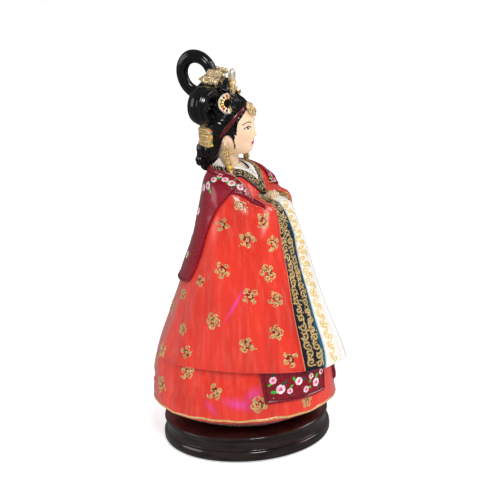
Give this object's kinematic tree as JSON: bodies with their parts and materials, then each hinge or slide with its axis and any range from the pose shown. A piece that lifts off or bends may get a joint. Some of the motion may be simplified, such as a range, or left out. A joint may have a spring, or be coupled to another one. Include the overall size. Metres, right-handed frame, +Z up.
{
  "type": "souvenir figurine",
  "caption": "Souvenir figurine of a court-dress bride in wide red sleeves and a maroon shawl, hands joined, on a dark round turned plinth.",
  "frame": {"origin": "centre of the felt pad's resting face, on the plinth's axis", "axes": "+Z up along the figure's height; the figure faces -Y, so its right side is at -X"},
  "size_m": [0.075, 0.0886, 0.1758],
  "materials": {
    "lacquered_wood": "near-black gloss lacquer",
    "felt": "pressed felt",
    "screw_steel": "zinc plated",
    "robe_paint": "orange-red paint under gloss varnish, on cast resin",
    "torso_resin": "painted cast resin",
    "navy_gold_paint": "navy paint with gold relief scrollwork, varnished resin",
    "white_paint": "white paint with pale yellow pattern, varnished resin",
    "maroon_paint": "maroon paint with flowers, varnished resin",
    "skin_paint": "flesh-tone paint, satin varnish, on resin",
    "hair_paint": "black paint under high-gloss varnish, on resin",
    "ribbon_paint": "dark red paint, varnished resin",
    "gold_metal": "pale gold, with painted coloured stones"
  },
  "bodies": {
    "root": {"plinth": "lacquered_wood", "felt_pad": "felt", "fixing_screws": "screw_steel", "skirt": "robe_paint", "torso": "torso_resin", "right_sleeve": "robe_paint", "left_sleeve": "robe_paint", "right_cuff_band": "navy_gold_paint", "left_cuff_band": "navy_gold_paint", "right_hansam": "white_paint", "left_hansam": "white_paint", "joined_cuffs": "white_paint", "shawl": "maroon_paint", "right_shawl_tail": "maroon_paint", "left_shawl_tail": "maroon_paint", "collar_band": "navy_gold_paint", "inner_collar": "white_paint", "head": "skin_paint", "hair_cap": "hair_paint", "hair_ribbon": "ribbon_paint", "top_loop": "hair_paint", "upper_roll": "hair_paint", "right_side_coil": "hair_paint", "left_side_coil": "hair_paint", "nape_bun": "hair_paint", "forehead_ornament": "gold_metal", "front_hairpin": "gold_metal", "right_loop_flower": "gold_metal", "left_loop_flower": "gold_metal", "right_comb": "gold_metal", "left_comb": "gold_metal", "right_nape_ornament": "gold_metal", "left_nape_ornament": "gold_metal", "right_earring": "gold_metal", "left_earring": "gold_metal"}
  },
  "joints": []
}
